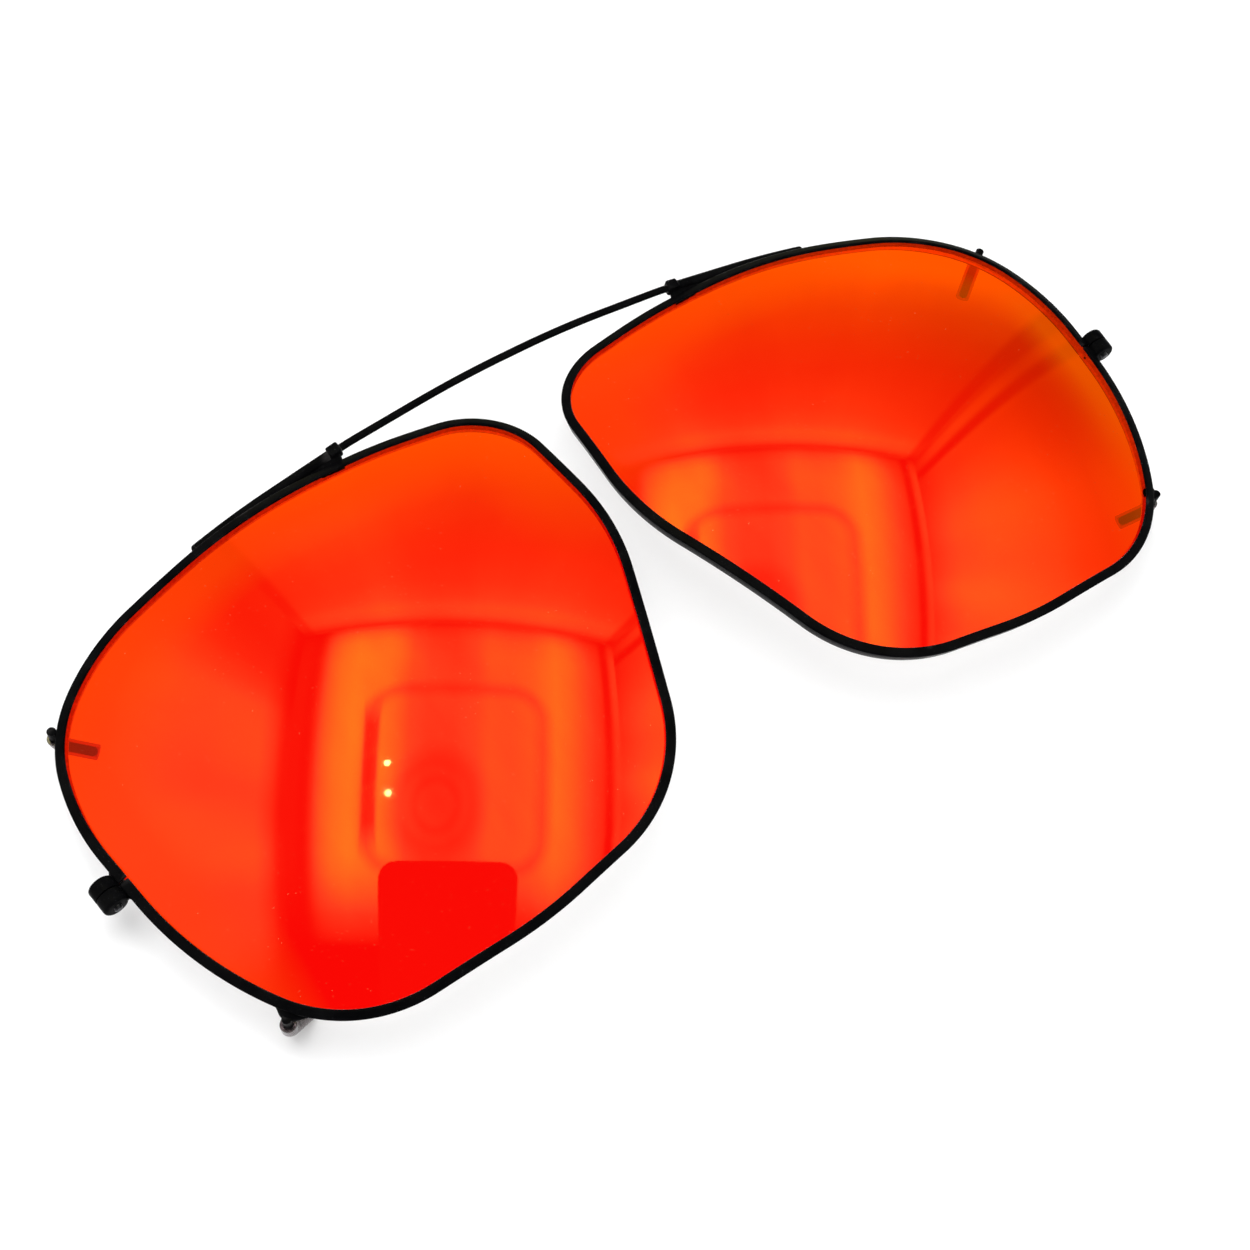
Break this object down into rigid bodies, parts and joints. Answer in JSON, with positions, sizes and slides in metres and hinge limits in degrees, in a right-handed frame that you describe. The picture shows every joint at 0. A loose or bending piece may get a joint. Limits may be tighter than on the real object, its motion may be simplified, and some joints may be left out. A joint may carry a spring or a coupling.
{
  "type": "clip-on sunglasses",
  "caption": "Clip-on sunglasses: mirrored lenses in black wire rims on a sprung sliding wire bridge, with sleeved hooks that grip the edges of a spectacle frame.",
  "frame": {"origin": "on the mirror plane, at mid height of the outline, in the plane the four prong sleeves rest on", "axes": "X across the face with the right unit as seen from the front at +X, Y up the face, Z out of the front of the lenses"},
  "size_m": [0.1218, 0.0526, 0.0132],
  "materials": {
    "wire_paint": "semi-gloss black lacquer on drawn wire",
    "rim_paint": "semi-gloss black lacquer on rolled eyewire",
    "block_paint": "semi-gloss black lacquer",
    "collar_paint": "semi-gloss black lacquer",
    "tube_paint": "semi-gloss black lacquer on thin tube",
    "prong_paint": "semi-gloss black lacquer on drawn wire",
    "mirror_lens": "polished polycarbonate, orange-red mirror coating",
    "screw_steel": "blackened steel",
    "spring_steel": "bright spring wire",
    "clear_sleeve": "clear soft PVC tubing"
  },
  "bodies": {
    "bridge": {"bridge_wire": "wire_paint"},
    "right_lens_unit": {"right_rim": "rim_paint", "right_lens": "mirror_lens", "right_closing_block_upper": "block_paint", "right_closing_block_lower": "block_paint", "right_closing_screw": "screw_steel", "right_bridge_collar": "collar_paint", "right_spring_tube": "tube_paint", "right_tube_plug": "tube_paint", "right_bridge_spring": "spring_steel", "right_upper_prong": "prong_paint", "right_upper_prong_sleeve": "clear_sleeve", "right_lower_prong": "prong_paint", "right_lower_prong_sleeve": "clear_sleeve"},
    "left_lens_unit": {"left_rim": "rim_paint", "left_lens": "mirror_lens", "left_closing_block_upper": "block_paint", "left_closing_block_lower": "block_paint", "left_closing_screw": "screw_steel", "left_bridge_collar": "collar_paint", "left_spring_tube": "tube_paint", "left_tube_plug": "tube_paint", "left_bridge_spring": "spring_steel", "left_upper_prong": "prong_paint", "left_upper_prong_sleeve": "clear_sleeve", "left_lower_prong": "prong_paint", "left_lower_prong_sleeve": "clear_sleeve"}
  },
  "joints": [
    {"name": "right_lens_slide", "type": "slide", "parent": "bridge", "child": "right_lens_unit", "axis": [0.9857, -0.0591, -0.1577], "range_m": [0, 0.006], "stiffness_N_per_m": 60, "springref_m": -0.003, "deforming": ["right_bridge_spring"]},
    {"name": "left_lens_slide", "type": "slide", "parent": "bridge", "child": "left_lens_unit", "axis": [-0.9857, -0.0591, -0.1577], "range_m": [0, 0.006], "stiffness_N_per_m": 60, "springref_m": -0.003, "deforming": ["left_bridge_spring"]}
  ]
}
